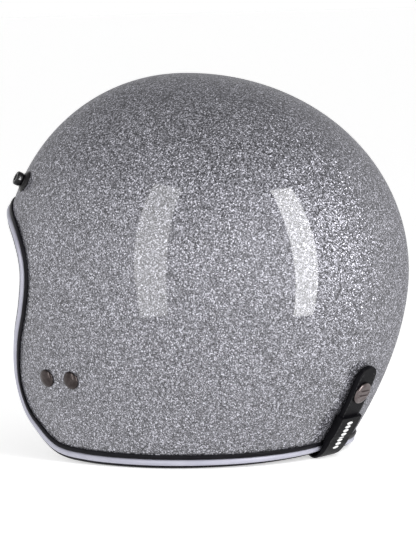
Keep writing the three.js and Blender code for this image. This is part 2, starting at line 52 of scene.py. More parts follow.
# ---- driving dimensions
CROWN_Y = -25.7                # where the vertical axis through the crown stands
SIDE, FRONT, REAR = 116.0, 107.0, 154.5
GIRTH_Z, CROWN_RISE = 117.5, 127.0
FRONT_POWER, REAR_POWER, DOME_POWER, TUCK_POWER = 2.5, 2.1, 2.04, 1.82
TUCK_FRONT, TUCK_REAR, TUCK_SIDE = 0.0, 0.337, 0.2
WALL = 3.5
FOAM_OUT, FOAM_IN = 5.6, 29.0  # depths below the shell's outer face
LINER_OUT, LINER_IN = 29.6, 36.5
NAPE_Z = 9.6

# Edges as (azimuth, height), from the middle of the brow to the middle of the nape
SHELL_EDGE = [
    (0, 167), (24, 166.5), (42, 163.5), (54, 157.3), (62.5, 148), (68.2, 134), (69.8, 118), (67, 97.5),
    (60.6, 75.6), (54.7, 51.6), (55.8, 34), (61.7, 22), (70, 11), (84, 7.8), (105, 7), (130, 7),
    (150, 7.3), (167, 8.3), (180, NAPE_Z),
]
FOAM_EDGE = [
    (0, 176), (24, 175.5), (42, 172), (56, 164), (66, 151), (72.5, 135), (75, 118), (77, 98), (84, 84),
    (95, 78), (112, 72), (130, 60), (150, 52), (180, 49),
]
AROUND = 9                     # columns for each knot of an edge
ROLL_END = 8                   # knots of FOAM_EDGE from the brow to each end of the brow roll

STRAP_AZIMUTH, RIVET_Z, RIVET_SPREAD = 79.5, 55.4, 5.6
SNAPS = [("centre", 0, 186), ("left", 55, 178.6), ("right", -55, 178.6)]
STRAP_WIDTH, STRAP_THICKNESS = 22.0, 1.6
GOGGLE_HALF_WIDTH, GOGGLE_THICKNESS, GOGGLE_TOP_Z, GOGGLE_LOW_Z = 10.0, 2.9, 61.0, 18.0
GOGGLE_SNAP_Z, ANCHOR_Z, SLEEVE_TOP_Z, HEM_Z = 45.0, 25.0, 30.0, 14.6
HEM_HALF_WIDTH, HEM_THICKNESS = 10.2, 1.8

SETTLE_FRAMES, CLOTH_PRESSURE = 20, 4.0


# ---- the shell's outer surface
def plan_radius(azimuth):
    c, s = np.cos(np.radians(azimuth)), np.sin(np.radians(azimuth))
    power = np.where(c > 0, FRONT_POWER, REAR_POWER)
    reach = np.where(c > 0, FRONT, REAR)
    return (np.abs(c / reach) ** power + np.abs(s / SIDE) ** power) ** (-1 / power)


def surface(azimuth, level):
    """The outer face of the shell: level is 0 at the crown, 1 at the girth and 2 at the base plane."""
    azimuth, level = np.broadcast_arrays(np.asarray(azimuth, float), np.asarray(level, float))
    c, s = np.cos(np.radians(azimuth)), np.sin(np.radians(azimuth))
    plan = plan_radius(azimuth)
    turn = np.clip(level, 0, 1) * math.pi / 2
    up, out = np.abs(np.cos(turn)), np.sin(turn)
    ray = ((up / CROWN_RISE) ** DOME_POWER + (out / plan) ** DOME_POWER) ** (-1 / DOME_POWER)
    tuck = TUCK_SIDE + (np.where(c > 0, TUCK_FRONT, TUCK_REAR) - TUCK_SIDE) * np.abs(c) ** 3
    low = plan * (1 - tuck * np.maximum(level - 1, 0) ** TUCK_POWER)
    radius = np.where(level <= 1, ray * out, low)
    z = np.where(level <= 1, GIRTH_Z + ray * up, GIRTH_Z * (2 - level))
    return np.stack([radius * s, CROWN_Y - radius * c, z], -1)


def level_at(azimuth, z):
    z = np.asarray(z, float)
    rise = np.clip((z - GIRTH_Z) / CROWN_RISE, 0, 1)
    radius = plan_radius(azimuth) * (1 - rise ** DOME_POWER) ** (1 / DOME_POWER)
    upper = np.arctan2(radius, np.maximum(z - GIRTH_Z, 1e-9)) / (math.pi / 2)
    return np.where(z <= GIRTH_Z, 2 - z / GIRTH_Z, upper)


def unit(vectors):
    return vectors / np.maximum(np.linalg.norm(vectors, axis=-1, keepdims=True), 1e-12)


def outward(azimuth, level):
    azimuth, level = np.broadcast_arrays(np.asarray(azimuth, float), np.asarray(level, float))
    step = 1e-3
    around = surface(azimuth + step, level) - surface(azimuth - step, level)
    down = surface(azimuth, level + step) - surface(azimuth, level - step)
    normal = unit(np.cross(down, around))
    return np.where((level < 2 * step)[..., None], np.array([0.0, 0.0, 1.0]), normal)


def above(azimuth, level, height):
    """Points at a height above the shell's outer face, or at a depth below it when height is negative."""
    return surface(azimuth, level) + outward(azimuth, level) * np.asarray(height, float)[..., None]


def at(azimuth, z, height=0.0):
    return above(azimuth, level_at(azimuth, z), height)


# ---- curves and outlines
def run_along(points):
    """The distance from the first point of a line to each of its points."""
    return np.concatenate([[0], np.cumsum(np.linalg.norm(np.diff(points, axis=0), axis=1))])


def sampled(places, run, values):
    """The values along a line, at other distances along it."""
    return np.stack([np.interp(places, run, axis) for axis in values.T], 1)


def path_normals(path):
    """Directions square to a flat path."""
    tangent = unit(np.gradient(path, axis=0))
    return np.stack([-tangent[:, 1], tangent[:, 0]], 1)


def circle(middle, radius, sides=12):
    turn = 2 * math.pi * np.arange(sides) / sides
    return np.stack([middle[0] + radius * np.cos(turn), middle[1] + radius * np.sin(turn)], 1)


def spline(knots, steps):
    """Catmull-Rom curve through the knots after the first and before the last, without its end point."""
    curve = []
    for p, q, r, s in zip(knots[:-3], knots[1:-2], knots[2:-1], knots[3:]):
        for u in np.arange(steps) / steps:
            square, cube = 2 * p - 5 * q + 4 * r - s, 3 * q - p - 3 * r + s
            curve.append(0.5 * (2 * q + (r - p) * u + square * u ** 2 + cube * u ** 3))
    return np.array(curve)


def closed_edge(half, steps):
    """A half edge and its mirror image as one closed ring of (azimuth, height)."""
    half = np.array(half, float)
    mirrored = half[1:-1][::-1] * [-1, 1] + [360, 0]
    ring = np.vstack([half, mirrored])
    return spline(np.vstack([ring[-1:] - [360, 0], ring, ring[:2] + [360, 0]]), steps)


def smooth_path(points, spacing):
    """Evenly spaced points along a smooth curve through the given ones."""
    points = np.array(points, float)
    ends = [2 * points[0] - points[1]], [2 * points[-1] - points[-2]]
    curve = np.vstack([spline(np.vstack([ends[0], points, ends[1]]), 10), points[-1:]])
    run = run_along(curve)
    return sampled(np.linspace(0, run[-1], max(int(round(run[-1] / spacing)), 2) + 1), run, curve)


def rounded(outline, radius, closed=True, steps=3):
    """An outline with each corner eased by a short curve."""
    outline = np.array(outline, float)
    count = len(outline)
    eased = []
    for i, corner in enumerate(outline):
        if not closed and i in (0, count - 1):
            eased.append(corner)
            continue
        arms = [outline[i - 1] - corner, outline[(i + 1) % count] - corner]
        start, end = [corner + a * min(radius / np.linalg.norm(a), 0.48) for a in arms]
        for t in np.arange(steps + 1) / steps:
            eased.append((1 - t) ** 2 * start + 2 * t * (1 - t) * corner + t * t * end)
    return np.array(eased)


def noise(points, scale, seed):
    """Smooth repeatable unevenness from -1 to 1: a few crossing waves of about the given size."""
    draws = np.random.default_rng(seed)
    total = np.zeros(points.shape[:-1])
    for _ in range(5):
        wave = draws.normal(size=3)
        wave *= 2 * math.pi / (scale * draws.uniform(0.7, 1.5)) / np.linalg.norm(wave)
        total += np.sin(points @ wave + draws.uniform(0, 2 * math.pi))
    return total / 5


# ---- meshes
def grid_faces(rows, columns, start=0):
    """Quads of a grid of points stored row by row, whose rows are closed rings."""
    row, column = np.arange(rows - 1)[:, None] * columns, np.arange(columns)[None, :]
    beside = (column + 1) % columns
    corners = [row + column, row + columns + column, row + columns + beside, row + beside]
    return (np.stack(corners, -1).reshape(-1, 4) + start).tolist()


def add(name, data):
    """A new object in the scene."""
    obj = bpy.data.objects.new(name, data)
    bpy.context.scene.collection.objects.link(obj)
    return obj


def make(name, points, faces, look, body="helmet", replaces=(), sharp=80):
    """A piece of the helmet from points in millimetres, with its faces turned out."""
    mesh = bpy.data.meshes.new(name)
    mesh.from_pydata((np.asarray(points).reshape(-1, 3) * MM).tolist(), [], faces)
    shape = bmesh.new()
    shape.from_mesh(mesh)
    bmesh.ops.remove_doubles(shape, verts=shape.verts, dist=1e-6)
    bmesh.ops.recalc_face_normals(shape, faces=shape.faces)
    shape.to_mesh(mesh)
    shape.free()
    mesh.shade_smooth()
    mesh.set_sharp_from_angle(angle=math.radians(sharp))
    obj = add(name + "_detail", mesh)
    material, slot = look
    mesh.materials.append(material)
    if body:
        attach(obj, body)
    if replaces:
        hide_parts(*replaces)
    return obj


def simulated(points, faces, seam, voxel, reach):
    """A padded cover filled and settled as cloth: held where seam is 1, and moved by reach at the
    most. The points come back one subdivision finer than the voxels."""
    points = np.asarray(points, float).reshape(-1, 3)
    mesh = bpy.data.meshes.new("cover")
    mesh.from_pydata((points * MM).tolist(), [], faces)
    cover = add("cover", mesh)

    def evaluated():
        return cover.evaluated_get(bpy.context.evaluated_depsgraph_get())

    remesh = cover.modifiers.new("remesh", "REMESH")
    remesh.mode, remesh.voxel_size = "VOXEL", voxel * MM
    start = bpy.data.meshes.new_from_object(evaluated())
    cover.modifiers.clear()
    cover.data = start
    near = KDTree(len(points))
    for k, point in enumerate(points):
        near.insert(point * MM, k)
    near.balance()
    held = cover.vertex_groups.new(name="seam")
    for vertex in start.vertices:
        held.add([vertex.index], float(seam[near.find(vertex.co)[1]]), "REPLACE")
    cloth = cover.modifiers.new("cloth", "CLOTH")
    settings = cloth.settings
    settings.effector_weights.gravity = 0.0
    settings.use_pressure, settings.uniform_pressure_force = True, CLOTH_PRESSURE
    settings.vertex_group_mass = "seam"
    settings.shrink_min = -0.06
    settings.bending_stiffness = 0.2
    cloth.point_cache.frame_end = SETTLE_FRAMES
    for moment in range(1, SETTLE_FRAMES + 1):
        bpy.context.scene.frame_set(moment)
    before = np.array([v.co for v in start.vertices])
    shift = np.array([v.co for v in evaluated().data.vertices]) - before
    far = np.linalg.norm(shift, axis=1, keepdims=True)
    shift *= np.minimum(1, reach * MM / np.maximum(far, 1e-9))
    cover.modifiers.clear()
    for vertex, place in zip(start.vertices, before + shift):
        vertex.co = place
    cover.modifiers.new("finer", "SUBSURF").levels = 1
    made = evaluated().data
    result = np.array([v.co for v in made.vertices]) / MM, [list(p.vertices) for p in made.polygons]
    bpy.context.scene.frame_set(1)
    bpy.data.objects.remove(cover)
    return result


def tube_faces(rings, size, closed):
    """Faces of a section swept through a number of places, with flat ends when it isn't closed."""
    faces = grid_faces(rings, size)
    if closed:
        last = (rings - 1) * size
        for k in range(size):
            after = (k + 1) % size
            faces.append([last + k, k, after, last + after])
    else:
        faces.append(list(range(size)))
        faces.append([(rings - 1) * size + k for k in range(size)][::-1])
    return faces


def dome_grid(edge, rows):
    """Azimuths and levels of rings from the crown to a closed edge, whose columns never cross."""
    turn = 360 * np.arange(len(edge)) / len(edge)
    start = turn + 40 * np.sin(np.radians(turn)) + 20 * np.sin(np.radians(2 * turn))
    s = (1 - (1 - np.arange(rows + 1) / rows) ** 1.3)[:, None]
    level = level_at(edge[:, 0], edge[:, 1]) * s
    return start + (edge[:, 0] - start) * s ** 2, level, np.broadcast_to(s, level.shape)


def dome_faces(rows, columns):
    """Faces of an outer and an inner dome joined at the edge."""
    layer = (rows + 1) * columns
    faces = grid_faces(rows + 1, columns) + grid_faces(rows + 1, columns, layer)
    for k in range(columns):
        after = (k + 1) % columns
        rim, inner = rows * columns, layer + rows * columns
        faces.append([rim + k, inner + k, inner + after, rim + after])
    return faces


def dome(name, edge, rows, outer, inner, look, replaces, sharp):
    """A dome between two depths below the shell's outer face."""
    azimuth, level, _ = dome_grid(edge, rows)
    layers = [above(azimuth, level, -outer), above(azimuth, level, -inner)]
    make(name, layers, dome_faces(rows, len(edge)), look, replaces=replaces, sharp=sharp)


def stations(edge, closed):
    """Feet of an edge on the shell, with the directions out of the shell and beyond the edge."""
    level = level_at(edge[:, 0], edge[:, 1])
    feet, out = surface(edge[:, 0], level), outward(edge[:, 0], level)
    if closed:
        along = np.roll(feet, -1, 0) - np.roll(feet, 1, 0)
    else:
        along = np.gradient(feet, axis=0)
    return feet, out, unit(np.cross(along, out))


def sweep(places, section):
    """Points of a section of (beyond the edge, above the surface), or one section for each place."""
    feet, out, beyond = places
    section = np.broadcast_to(section, (len(feet),) + np.shape(section)[-2:])
    return feet[:, None] + beyond[:, None] * section[..., :1] + out[:, None] * section[..., 1:]


def turned(profile, sides=48):
    """Points and faces of a profile of (radius, height) turned about the Z axis."""
    profile = np.array(profile, float)
    angle = 2 * math.pi * np.arange(sides) / sides
    rings = [np.stack([r * np.cos(angle), r * np.sin(angle), np.full(sides, h)], 1) for r, h in profile]
    return np.array(rings), grid_faces(len(profile), sides)


def stand_on(azimuth, z):
    """A place on the shell, its Z axis pointing out and its X axis level."""
    level = level_at(azimuth, z)
    out = outward(azimuth, level)
    across = unit(np.cross([0.0, 0.0, 1.0], out))
    place = np.eye(4)
    place[:3, :3] = np.stack([across, np.cross(out, across), out], 1)
    place[:3, 3] = surface(azimuth, level)
    return place


def moved(points, place):
    return np.asarray(points) @ place[:3, :3].T + place[:3, 3]


def joined(parts):
    """Several (points, faces) as one."""
    points, faces, start = [], [], 0
    for some, their in parts:
        some = np.asarray(some).reshape(-1, 3)
        points.append(some)
        faces += [[i + start for i in face] for face in their]
        start += len(some)
    return np.vstack(points), faces


def bead_run(points, normals, length, width, gap, height=0.5):
    """Stitches along a line: small raised capsules, each following the line."""
    points, normals = np.asarray(points), np.asarray(normals)
    run = run_along(points)
    rings, sides = 6, 8
    turn = 2 * math.pi * np.arange(sides) / sides
    parts = []
    for start in np.arange(gap, run[-1] - length, length + gap):
        s = start + length * (1 - np.cos(np.linspace(0, math.pi, rings))) / 2
        middle, normal = sampled(s, run, points), unit(sampled(s, run, normals))
        side = np.cross(normal, unit(middle[-1] - middle[0]))
        swell = np.sqrt(np.maximum(1 - ((s - s.mean()) / (length / 2 + 0.02)) ** 2, 0.02))[:, None, None]
        ring = side[:, None] * np.cos(turn)[:, None] * width / 2
        ring = ring + normal[:, None] * np.sin(turn)[:, None] * height
        parts.append((middle[:, None] + ring * swell, tube_faces(rings, sides, False)))
    return joined(parts)


# ---- materials
def node(tree, kind, values=(), **properties):
    """A shader node with its properties, and its inputs by name or number: a value, or a socket to link."""
    made = tree.nodes.new("ShaderNode" + kind)
    for key, value in properties.items():
        setattr(made, key, value)
    for key, value in dict(values).items():
        if isinstance(value, bpy.types.NodeSocket):
            tree.links.new(value, made.inputs[key])
        else:
            made.inputs[key].default_value = value
    return made


def start_material(name, **constants):
    """A material's tree, its principled shader with constant inputs, and its object coordinates."""
    material = bpy.data.materials.new(name)
    material.use_nodes = True
    tree = material.node_tree
    shader = tree.nodes["Principled BSDF"]
    for key, value in constants.items():
        shader.inputs[key.replace("_", " ")].default_value = value
    return material, tree, shader, node(tree, "TexCoord").outputs["Object"]


def feed(shader, **sockets):
    """Links sockets to a shader's inputs."""
    for key, socket in sockets.items():
        shader.id_data.links.new(socket, shader.inputs[key.replace("_", " ")])


def ramp(value, *stops):
    """A colour ramp over (position, grey or colour) stops."""
    made = node(value.id_data, "ValToRGB", {"Fac": value})
    points = made.color_ramp.elements
    while len(points) < len(stops):
        points.new(0.5)
    for point, (position, tone) in zip(points, stops):
        point.position = position
        point.color = (*tone, 1) if hasattr(tone, "__len__") else (tone, tone, tone, 1)
    return made.outputs["Color"]


def bump(height, distance, strength):
    values = {"Height": height, "Distance": distance, "Strength": strength}
    return node(height.id_data, "Bump", values).outputs["Normal"]


def mix(tree, factor, first, second, blend="MIX"):
    """Two colours mixed, or multiplied; the mix node keeps its colour sockets at places 6 and 7."""
    values = {0: factor, 6: first, 7: second}
    return node(tree, "Mix", values, data_type="RGBA", blend_type=blend).outputs[2]


def scaled_noise(place, size, detail=2.0, roughness=0.5):
    values = {"Vector": place, "Scale": 1 / size, "Detail": detail, "Roughness": roughness}
    return node(place.id_data, "TexNoise", values).outputs["Fac"]


def cells(place, size, randomness=1.0, feature="F1"):
    values = {"Vector": place, "Scale": 1 / size, "Randomness": randomness}
    return node(place.id_data, "TexVoronoi", values, feature=feature).outputs


def channels(colour):
    return node(colour.id_data, "SeparateColor", {"Color": colour}).outputs


def maths(operation, *values, kind="Math"):
    return node(values[0].id_data, kind, dict(enumerate(values)), operation=operation).outputs[0]


def flake_paint():
    """Coarse silver flake in a clear coat: each flake has its own brightness and its own slope.
    The coat's gloss falls off at grazing angles."""
    material, tree, shader, place = start_material(
        "flake_paint", Metallic=0.62, Coat_Weight=1.0, Coat_Roughness=0.035, Coat_IOR=1.5,
        Specular_IOR_Level=0.3, Specular_Tint=(0.4, 0.4, 0.42, 1))
    flakes, small = [cells(place, size)["Color"] for size in (0.00066, 0.00042)]
    part, part_small = channels(flakes), channels(small)
    tone = ramp(part["Red"], (0.0, 0.0), (0.25, 0.045), (0.55, 0.15), (0.83, 0.42), (0.95, 1.0))
    fine = ramp(part_small["Red"], (0.0, 0.01), (0.5, 0.16), (0.88, 0.42), (1.0, 1.0))
    cool = mix(tree, 1.0, mix(tree, 0.42, tone, fine), (0.93, 0.925, 1.03, 1), "MULTIPLY")
    drift = ramp(scaled_noise(place, 0.035, 3.0), (0.3, 0.93), (0.7, 1.0))
    lean = maths("SUBTRACT", flakes, (0.5, 0.5, 0.5), kind="VectorMath")
    lean = maths("MULTIPLY", lean, (0.75, 0.75, 0.75), kind="VectorMath")
    tipped = maths("ADD", lean, node(tree, "NewGeometry").outputs["Normal"], kind="VectorMath")
    facing = node(tree, "LayerWeight", {"Blend": 0.5}).outputs["Facing"]
    feed(shader, Base_Color=mix(tree, 1.0, cool, drift, "MULTIPLY"),
         Roughness=ramp(part["Green"], (0.0, 0.3), (1.0, 0.55)),
         Normal=maths("NORMALIZE", tipped, kind="VectorMath"),
         Coat_Weight=ramp(facing, (0.42, 1.0), (0.58, 0.5), (0.74, 0.17), (1.0, 0.03)),
         Coat_Normal=bump(scaled_noise(place, 0.004, 1.0), 0.00002, 0.5))
    return material


def moulded(name, tone, lighter, roughness, grain=0.0006, depth=0.00004, **constants):
    """Moulded rubber, vinyl or plastic: a fine grain, with slightly paler and rougher worn patches."""
    material, _, shader, place = start_material(name, **constants)
    patches = scaled_noise(place, 0.012, 4.0, 0.6)
    feed(shader, Base_Color=ramp(patches, (0.35, tone), (0.75, lighter)),
         Roughness=ramp(patches, (0.3, roughness - 0.05), (0.8, roughness + 0.08)),
         Normal=bump(scaled_noise(place, grain, 3.0, 0.6), depth, 0.6))
    return material


def bead_foam():
    """Expanded foam: pressed beads with fine lines between them."""
    material, tree, shader, place = start_material("bead_foam", Roughness=0.85)
    size = 0.0032
    edges = cells(place, size, feature="DISTANCE_TO_EDGE")["Distance"]
    lines = ramp(edges, (0.0, 0.0), (0.09, 1.0))
    part = channels(cells(place, size)["Color"])
    body = ramp(part["Red"], (0.0, (0.035, 0.035, 0.037)), (1.0, (0.06, 0.06, 0.063)))
    feed(shader, Base_Color=mix(tree, lines, (0.015, 0.015, 0.016, 1), body),
         Normal=bump(lines, 0.0003, 0.8))
    return material


def knit(name, tone, lighter):
    """Fine mesh lining fabric: rows of small eyes, with a soft sheen."""
    material, tree, shader, place = start_material(
        name, Roughness=0.85, Sheen_Weight=0.25, Sheen_Roughness=0.5, Specular_IOR_Level=0.25)
    eyes = ramp(cells(place, 0.0011, 0.25)["Distance"], (0.12, 0.0), (0.42, 1.0))
    cloth = ramp(scaled_noise(place, 0.02, 3.0), (0.3, tone), (0.75, lighter))
    feed(shader, Base_Color=mix(tree, eyes, (*[t * 0.35 for t in tone], 1), cloth),
         Normal=bump(eyes, 0.00025, 0.7))
    return material


def suede(name, tone, lighter):
    """Brushed microfibre: a short nap that lies in soft patches."""
    material, tree, shader, place = start_material(
        name, Roughness=0.95, Sheen_Weight=0.6, Sheen_Roughness=0.35, Specular_IOR_Level=0.15)
    fibre = scaled_noise(place, 0.0005, 3.0, 0.7)
    nap = mix(tree, 0.4, scaled_noise(place, 0.006, 5.0, 0.7), fibre)
    feed(shader, Base_Color=ramp(nap, (0.35, tone), (0.68, lighter)),
         Normal=bump(fibre, 0.0001, 0.8))
    return material


def metal(name, tone, lighter, roughness, streak=(1.0, 1.0, 14.0)):
    """Plated metal with fine brushed streaks and a few duller spots."""
    material, tree, shader, place = start_material(name, Metallic=1.0)
    stretched = node(tree, "Mapping", {"Vector": place, "Scale": streak}).outputs["Vector"]
    streaks = scaled_noise(stretched, 0.0012, 4.0, 0.6)
    feed(shader, Base_Color=ramp(scaled_noise(place, 0.003, 3.0), (0.35, tone), (0.7, lighter)),
         Roughness=ramp(streaks, (0.3, roughness - 0.06), (0.7, roughness + 0.1)),
         Normal=bump(streaks, 0.000015, 0.6))
    return material


def woven_webbing():
    """Webbing: ribs across the strap and a herringbone along it, drawn in the strap's own metres."""
    material, tree, shader, place = start_material(
        "woven_webbing", Roughness=0.75, Sheen_Weight=0.3, Sheen_Roughness=0.4, Specular_IOR_Level=0.3)
    strap = node(tree, "UVMap", uv_map="strap").outputs["UV"]
    lie = node(tree, "SeparateXYZ", {"Vector": strap}).outputs
    zigzag = maths("ADD", lie["X"], maths("PINGPONG", lie["Y"], 0.0055))
    waves = [maths("SINE", maths("MULTIPLY", along, 2 * math.pi / pitch))
             for along, pitch in ((zigzag, 0.0011), (lie["Y"], 0.0009))]
    product = maths("MULTIPLY", *waves)
    weave = node(tree, "MapRange", {"Value": product, "From Min": -1.0, "From Max": 1.0}).outputs[0]
    mixed = mix(tree, 0.3, weave, scaled_noise(place, 0.0007, 3.0, 0.7))
    feed(shader, Normal=bump(mixed, 0.00025, 0.9),
         Base_Color=ramp(mixed, (0.2, (0.006, 0.006, 0.007)), (0.85, (0.028, 0.028, 0.031))))
    return material


def leather():
    """Coated black leather: fine pebbled grain and a low satin."""
    material, _, shader, place = start_material("black_leather", Specular_IOR_Level=0.07)
    edges = cells(place, 0.0008, feature="DISTANCE_TO_EDGE")["Distance"]
    patches = scaled_noise(place, 0.01, 3.0)
    tone = ramp(patches, (0.3, (0.002, 0.0019, 0.0028)), (0.75, (0.005, 0.0047, 0.0065)))
    feed(shader, Base_Color=tone, Roughness=ramp(patches, (0.3, 0.42), (0.8, 0.58)),
         Normal=bump(ramp(edges, (0.0, 0.0), (0.22, 1.0)), 0.00006, 0.5))
    return material


def print_ink():
    """Raised white print, slightly uneven."""
    material, _, shader, place = start_material("white_print", Roughness=0.55)
    patches = scaled_noise(place, 0.0015, 3.0, 0.6)
    feed(shader, Base_Color=ramp(patches, (0.3, 0.66), (0.7, 0.84)),
         Normal=bump(patches, 0.00005, 0.5))
    return material


PAINT = (flake_paint(), "flake_paint")
RUBBER = (moulded("black_rubber", (0.004, 0.0037, 0.0055), (0.009, 0.0085, 0.0115), 0.42,
                  Specular_IOR_Level=0.1), "black_rubber")
SILVER = (moulded("silver_vinyl", (0.36, 0.36, 0.43), (0.42, 0.42, 0.49), 0.4, Metallic=0.1), "silver_vinyl")
FOAM = (bead_foam(), "foam")
QUILT = (knit("lining_mesh", (0.016, 0.016, 0.019), (0.026, 0.026, 0.03)), "quilted_fabric")
SUEDE = (suede("pad_suede", (0.012, 0.012, 0.014), (0.03, 0.029, 0.032)), "suede")
PIPING = (moulded("piping_vinyl", (0.03, 0.03, 0.033), (0.05, 0.05, 0.055), 0.4), "suede")
THREAD = (moulded("thread", (0.16, 0.16, 0.17), (0.24, 0.24, 0.25), 0.7, 0.0004, 0.0001), "suede")
BLACK_THREAD = (moulded("black_thread", (0.02, 0.02, 0.022), (0.04, 0.04, 0.043), 0.6, 0.0004, 0.0001),
                "webbing")
GUNMETAL = (metal("gunmetal", (0.05, 0.041, 0.04), (0.085, 0.072, 0.07), 0.22), "gunmetal")
BRONZE = (metal("brushed_cap", (0.13, 0.105, 0.105), (0.2, 0.17, 0.17), 0.3, (14.0, 1.0, 1.0)), "gunmetal")
BLACK_METAL = (moulded("black_plate", (0.004, 0.0037, 0.0045), (0.009, 0.008, 0.0095), 0.3,
                       Specular_IOR_Level=0.3), "black_metal")
STEEL = (metal("nickel_steel", (0.5, 0.5, 0.52), (0.62, 0.62, 0.63), 0.24), "steel")
WEBBING = (woven_webbing(), "webbing")
LEATHER = (leather(), "black_leather")
PRINT = (print_ink(), "black_leather")

# ---- edge trim
shell_edge = closed_edge(SHELL_EDGE, AROUND)
foam_edge = closed_edge(FOAM_EDGE, AROUND)


def edge_trim():
    """The rubber channel that grips the shell's edge, and the half-round bead in its groove."""
    rim = stations(shell_edge, True)
    channel = rounded([
        (-2.6, 0.35), (-2.5, 1.45), (-0.8, 1.75), (0.4, 1.6), (0.5, 0.4), (4.9, 0.4), (5.0, 1.35),
        (6.0, 1.3), (7.3, 0.2), (7.0, -5.0), (-6.0, -6.1), (-6.1, -4.9), (0.5, -4.8), (0.5, 0.4)], 0.55)
    points = sweep(rim, channel)
    points[..., 2] = np.maximum(points[..., 2], 0.0)
    make("edge_trim", points, tube_faces(len(points), len(channel), True), RUBBER, replaces=["edge_trim"],
         sharp=60)
    turn = np.linspace(0, math.pi, 13)
    bead = np.stack([2.75 + 2.1 * np.cos(turn), 0.5 + 2.1 * np.sin(turn)], 1)
    make("trim_bead", sweep(rim, bead), tube_faces(len(shell_edge), len(bead), True), SILVER,
         replaces=["trim_bead"], sharp=70)


# ---- lining
CROWN_PITCH, CHEEK_PITCH = 40.0, 27.0    # of the quilted diamonds
CROWN_ARC = 140.0                        # one level along the crown liner
CHEEK_BACK, CHEEK_DEPTH, CHEEK_SEAM = 11.2, 24.5, 0.68
CHEEK_MIDDLE = (84, 42)
CHEEK_OUTLINE = [
    (65, 70), (61, 56), (60.5, 42), (63.5, 28), (70, 17), (80, 12), (93, 11.5), (104, 15), (108, 28),
    (108, 46), (105, 60), (97, 69), (87, 73.5), (76, 74),
]
NECK_TOP, NECK_REACH = 46.0, 62.0


def quilting(across, along, pitch):
    """Puffiness of diamond quilting: 0 on a stitch line and 1 in the middle of a diamond."""
    p, q = (across + along) / pitch, (across - along) / pitch
    return np.abs(np.sin(math.pi * p) * np.sin(math.pi * q)) ** 0.45


def crown_liner():
    """Quilted fabric with a plain padded band round its edge."""
    rows = 110
    azimuth, level, s = dome_grid(foam_edge, rows)
    turn, reach = np.radians(azimuth), level * CROWN_ARC
    hem = np.clip((s - 0.88) / 0.035, 0, 1)
    hem = hem * hem * (3 - 2 * hem)
    band = np.sin(math.pi * np.clip((s - 0.885) / 0.115, 0, 1)) ** 0.5
    puff = (1 - hem) * quilting(reach * np.sin(turn), reach * np.cos(turn), CROWN_PITCH) + hem * band
    points = above(azimuth, level, -(LINER_IN - 3.9 + 3.6 * puff))
    points += outward(azimuth, level) * noise(points, 22, 4)[..., None] * 0.35
    layers = [above(azimuth, level, -LINER_OUT - 0.2), points]
    liner = make("crown_liner", layers, dome_faces(rows, len(foam_edge)), QUILT, replaces=["crown_liner"])
    row = int(np.searchsorted(s[:, 0], 0.882))
    line = above(azimuth[row], level[row], -(LINER_IN - 3.4))
    make("crown_stitches", *bead_run(line, -outward(azimuth[row], level[row]), 3.2, 0.7, 1.4), THREAD)


def padded_roll(name, places, outline, taper, thin, waves, seams, grip, reach, voxel, held_side, sharp):
    """A section swept along its places, thinner towards its ends and a little uneven, then settled with
    its seams held. The seams are points of the section, and grip says how firmly and how far they hold."""
    count = len(places[0])
    ends = np.clip(np.minimum(np.arange(count), np.arange(count)[::-1]) / taper, 0, 1)
    size = thin + (1 - thin) * np.sqrt(ends * (2 - ends))
    middle = outline.mean(0)
    points = sweep(places, middle + (outline - middle) * size[:, None, None])
    feel = sum(share * noise(points, scale, seed) for share, scale, seed in waves)
    points = points + unit(points - points.mean(1, keepdims=True)) * feel[..., None]
    gap = np.min([np.linalg.norm(outline - seam, axis=1) for seam in seams], axis=0)
    held = np.clip(grip[0] - gap / grip[1], 0, 1)
    held[held_side] = 1
    shape = simulated(points, tube_faces(count, len(outline), False), np.tile(held, count), voxel, reach)
    return make(name, *shape, SUEDE, replaces=[name], sharp=sharp)


def roll_piping(name, places, inset, middle, radius, sharp):
    """Piping along a roll, short of its ends. Returns the places it runs along."""
    feet, out, beyond = [axis[inset:-inset] for axis in places]
    cord = sweep((feet, out, beyond), circle(middle, radius))
    make(name, cord, tube_faces(len(feet), 12, False), PIPING, sharp=sharp)
    return feet, out, beyond


def brow_roll():
    reach = ROLL_END * AROUND
    edge = foam_edge[np.arange(-reach, reach + 1) % len(foam_edge)]
    edge = edge - np.where(edge[:, :1] > 180, [[360.0, 0.0]], [[0.0, 0.0]])
    outline = rounded([
        (0.7, -8.2), (0.7, -33.6), (2.6, -35.3), (4.9, -32.5), (5.6, -24), (5.6, -13), (4.6, -7.6),
        (2.4, -6.6)], 4.5, steps=6)
    places = stations(edge, False)
    roll = padded_roll("brow_roll", places, outline, 7.0, 0.35, [(0.35, 14, 7)], [(5.6, -14), (4.6, -8)],
                       (1.5, 2.0), 1.3, 2.4, outline[:, 0] < 1.2, 70)
    feet, out, beyond = roll_piping("brow_piping", places, 6, (5.5, -9.6), 1.1, 70)
    line = feet + beyond * 5.75 + out * -14.0
    make("brow_stitches", *bead_run(line, beyond, 3.0, 0.7, 1.6), THREAD)


